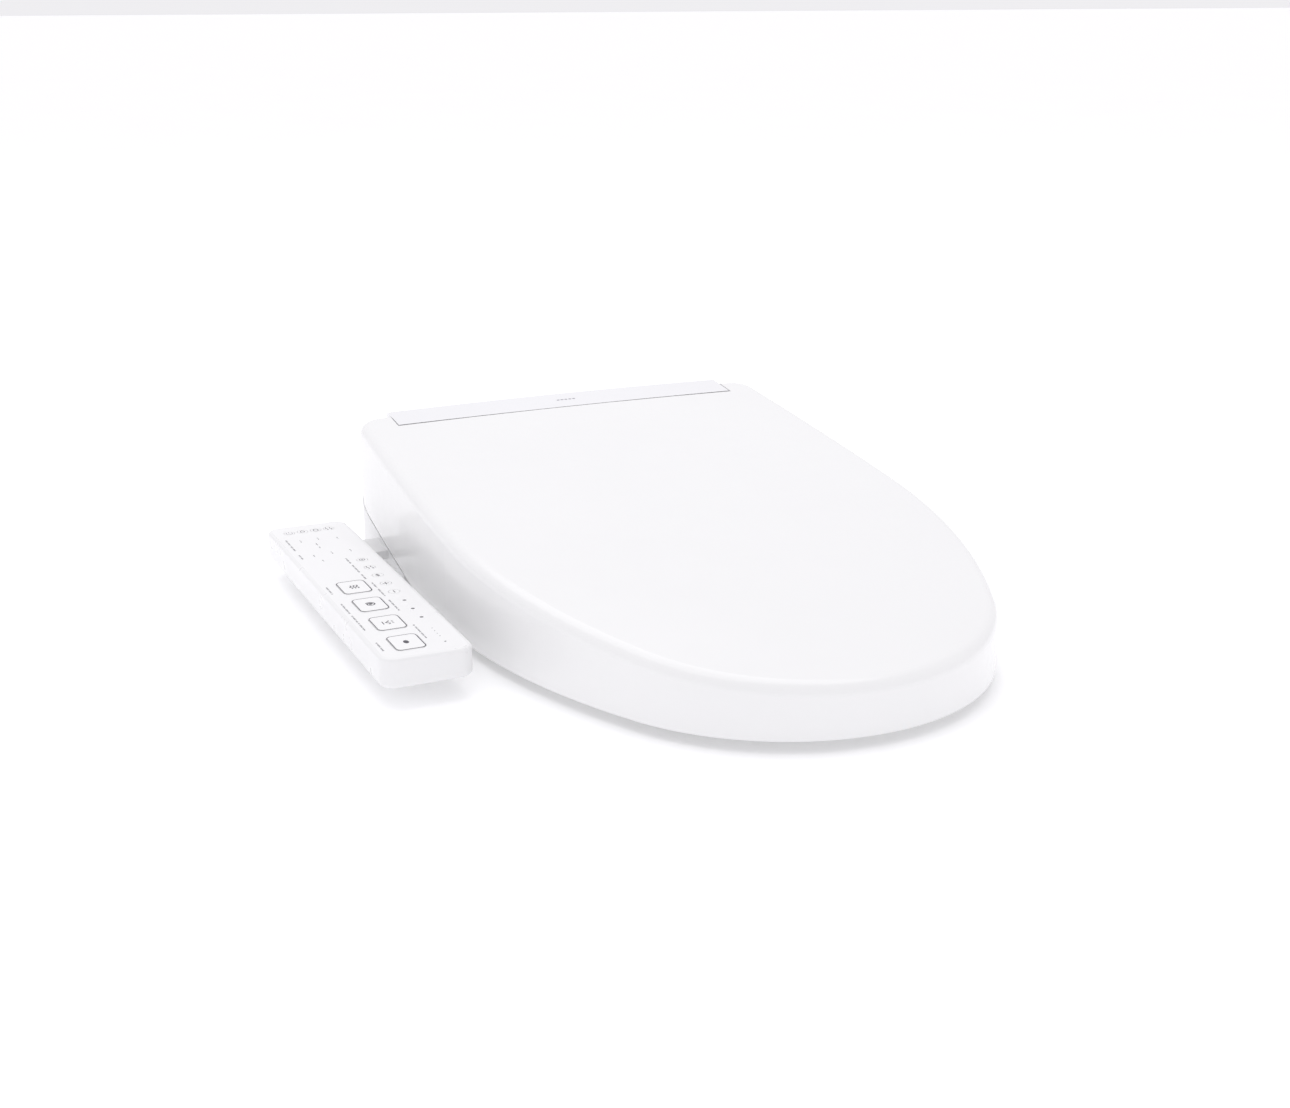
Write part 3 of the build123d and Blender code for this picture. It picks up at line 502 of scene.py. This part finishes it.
gland_low, gland_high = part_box("cable_gland")
gland_x = (gland_low.x + gland_high.x) / 2
ribs = [(4.0 * MM, gland_low.y), (7.0 * MM, gland_low.y), (7.0 * MM, case_rear), (10.0 * MM, case_rear),
        (10.0 * MM, case_rear + 1.4 * MM)]
along = case_rear + 1.4 * MM
for step in range(3):
    outer = (8.6 - 0.7 * step) * MM
    ribs += [(outer - 0.9 * MM, along + 0.3 * MM), (outer - 0.9 * MM, along + 0.8 * MM),
             (outer, along + 1.0 * MM), (outer, along + 1.9 * MM)]
    along += 2.1 * MM
ribs += [(5.4 * MM, gland_high.y), (4.0 * MM, gland_high.y)]
bm = bmesh.new()
lathe(bm, ribs, Matrix.Translation((gland_x, 0, inlet_z)) @ Matrix.Rotation(math.radians(-90), 4, "X"))
gland = finish_piece("cable_gland_ribbed", bm, SLOT_MATERIALS["black_rubber"], "unit")
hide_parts("cable_gland")

# ---------------------------------------------------------------- vent on the back of the case
grille = bmesh.new()
rear_wall = Matrix(((1, 0, 0, 0), (0, 0, 1, case_rear), (0, 1, 0, 0), (0, 0, 0, 1)))
GRILLE_Z = 26 * MM
ribbon(grille, rounded(0, GRILLE_Z, 132 * MM, 27 * MM, 5 * MM), 1.8 * MM, -0.3 * MM, 1.0 * MM,
       rear_wall, closed=True)
for i in range(7):
    slat = rounded(0, (16.4 + 3.2 * i) * MM, 124 * MM, 1.5 * MM, 0.7 * MM, 3)
    prism(grille, slat, -0.3 * MM, 0.8 * MM, rear_wall)
finish_piece("rear_grille", grille, SLOT_MATERIALS["case_white"], "unit", bevel=0.15 * MM)
# A dark sheet behind the slats: painted shade in the vent openings, not a real mesh part.
shadow = bmesh.new()
prism(shadow, rounded(0, GRILLE_Z, 129 * MM, 24 * MM, 4 * MM), -0.1 * MM, 0.12 * MM, rear_wall)
finish_piece("rear_grille_painted_shade", shadow, SLOT_MATERIALS["inner_black"], "unit")

# ---------------------------------------------------------------- screws under the case and the arm
SCREWS = [("bottom_plate", -130, -66), ("bottom_plate", 130, -66), ("bottom_plate", -150, 34),
          ("bottom_plate", 150, 34), ("bottom_plate", -118, -10), ("bottom_plate", 118, -10)]
arm_centre = (arm_low.x + arm_high.x) / 2 / MM
arm_ends = (arm_low.y / MM + 16, (arm_low.y + arm_high.y) / 2 / MM, arm_high.y / MM - 16)
SCREWS += [("arm_lower", arm_centre - 18 * (1 if i % 2 else -1), y) for i, y in enumerate(arm_ends)]
heads = bmesh.new()
# The cross recess in each screw head is a black cross laid on the head: painted shade in the recess.
slot_shade = bmesh.new()
for node, x, y in SCREWS:
    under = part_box(node)[0].z
    place = Matrix.Translation((x * MM, y * MM, under)) @ Matrix.Rotation(math.pi, 4, "X")
    lathe(heads, [(0.02 * MM, -0.5 * MM), (3.4 * MM, -0.5 * MM), (3.4 * MM, 0.5 * MM), (2.9 * MM, 0.95 * MM),
                  (1.6 * MM, 1.2 * MM), (0.02 * MM, 1.25 * MM)], place, 24)
    for turned in (0.4, 0.4 + math.pi / 2):
        cross = place @ Matrix.Rotation(turned, 4, "Z")
        prism(slot_shade, rounded(0, 0, 3.4 * MM, 0.7 * MM, 0.3 * MM, 2), 0.6 * MM, 1.28 * MM, cross)
finish_piece("case_screws", heads, SLOT_MATERIALS["steel"], "unit")
finish_piece("case_screw_slot_shade", slot_shade, SLOT_MATERIALS["inner_black"], "unit")

# -------------------------------------------------- grips on the filter drawer and release button
filter_low, filter_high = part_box("filter_drawer")
outward = Matrix(((0, 0, 1, filter_high.x), (1, 0, 0, 0), (0, 1, 0, 0), (0, 0, 0, 1)))
grip = bmesh.new()
filter_y = (filter_low.y + filter_high.y) / 2
filter_z = (filter_low.z + filter_high.z) / 2
for i in (-5, -4, -3, 3, 4, 5):
    prism(grip, rounded(filter_y + i * 2.6 * MM, filter_z, 0.9 * MM, 6.4 * MM, 0.4 * MM, 3),
          -0.4 * MM, 0.35 * MM, outward)
finish_piece("filter_grips", grip, SLOT_MATERIALS["filter_grey"], "filter", bevel=0.1 * MM)

button_low, button_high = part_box("release_button")
outward = Matrix(((0, 0, 1, button_high.x), (1, 0, 0, 0), (0, 1, 0, 0), (0, 0, 0, 1)))
button_y = (button_low.y + button_high.y) / 2
button_z = (button_low.z + button_high.z) / 2
chevron = bmesh.new()
for lift in (-1.6, 1.0):
    foot_z = button_z + (lift - 1.2) * MM
    tip_z = button_z + (lift + 1.2) * MM
    points = [(button_y - 3.2 * MM, foot_z), (button_y, tip_z), (button_y + 3.2 * MM, foot_z)]
    ribbon(chevron, points, 0.7 * MM, -0.2 * MM, 0.18 * MM, outward)
finish_piece("release_chevrons", chevron, SLOT_MATERIALS["case_white"], "release")


# ---------------------------------------------------------------- floor, light and camera
FLOOR_GLOW = 0.20
WORLD_STRENGTH = 0.88
OVERHEAD_POWER = 15
FILL_POWER = 0.8


def stage_material(name, colour):
    """Matt white that glows a little, so that the floor stays white away from the lamps."""
    mat, tree, shader, coords = new_material(name)
    colour_between(tree, noise(tree, coords, 3.0), shade(colour, 0.985), colour, shader.inputs["Base Color"])
    shader.inputs["Roughness"].default_value = 0.9
    shader.inputs["Specular IOR Level"].default_value = 0.1
    shader.inputs["Emission Color"].default_value = (1.0, 1.0, 1.0, 1)
    shader.inputs["Emission Strength"].default_value = FLOOR_GLOW
    return mat


bm = bmesh.new()
bmesh.ops.create_grid(bm, x_segments=2, y_segments=2, size=30)
floor_mesh = bpy.data.meshes.new("floor")
bm.to_mesh(floor_mesh)
bm.free()
floor = bpy.data.objects.new("floor", floor_mesh)
bpy.context.scene.collection.objects.link(floor)
floor.data.materials.append(stage_material("floor_white", (0.93, 0.93, 0.94)))
floor.location.z = cad_low.z - 0.0005

world = bpy.data.worlds.new("studio")
bpy.context.scene.world = world
world.use_nodes = True
world.node_tree.nodes["Background"].inputs["Color"].default_value = (0.985, 0.975, 1.0, 1)
world.node_tree.nodes["Background"].inputs["Strength"].default_value = WORLD_STRENGTH


def softbox(name, place, aim, size, power):
    light = bpy.data.lights.new(name, "AREA")
    light.shape = "RECTANGLE"
    light.size = size[0]
    light.size_y = size[1]
    light.energy = power
    obj = bpy.data.objects.new(name, light)
    bpy.context.scene.collection.objects.link(obj)
    obj.location = place
    obj.rotation_euler = (Vector(aim) - Vector(place)).to_track_quat("-Z", "Y").to_euler()
    return obj


subject = (cad_low + cad_high) / 2
softbox("overhead", (-0.1, 0.3, 2.0), subject, (2.4, 2.4), OVERHEAD_POWER)
softbox("right_fill", (2.2, -1.2, 1.2), subject, (1.6, 1.6), FILL_POWER)
bpy.context.scene.view_settings.view_transform = "Standard"

CAMERA_AZIMUTH = -25.0
CAMERA_ELEVATION = 17.9
CAMERA_DISTANCE = 1.314
CAMERA_AIM = (-0.0328, -0.1961, 0.0439)
camera = bpy.data.cameras.new("camera")
camera.sensor_width = 36.0
camera.lens = 49.0
camera.clip_end = 60.0
eye = bpy.data.objects.new("camera", camera)
bpy.context.scene.collection.objects.link(eye)
azimuth = math.radians(CAMERA_AZIMUTH)
elevation = math.radians(CAMERA_ELEVATION)
backward = Vector((math.sin(azimuth) * math.cos(elevation), -math.cos(azimuth) * math.cos(elevation),
                   math.sin(elevation)))
eye.location = Vector(CAMERA_AIM) + backward * CAMERA_DISTANCE
eye.rotation_euler = (-backward).to_track_quat("-Z", "Y").to_euler()
bpy.context.scene.camera = eye
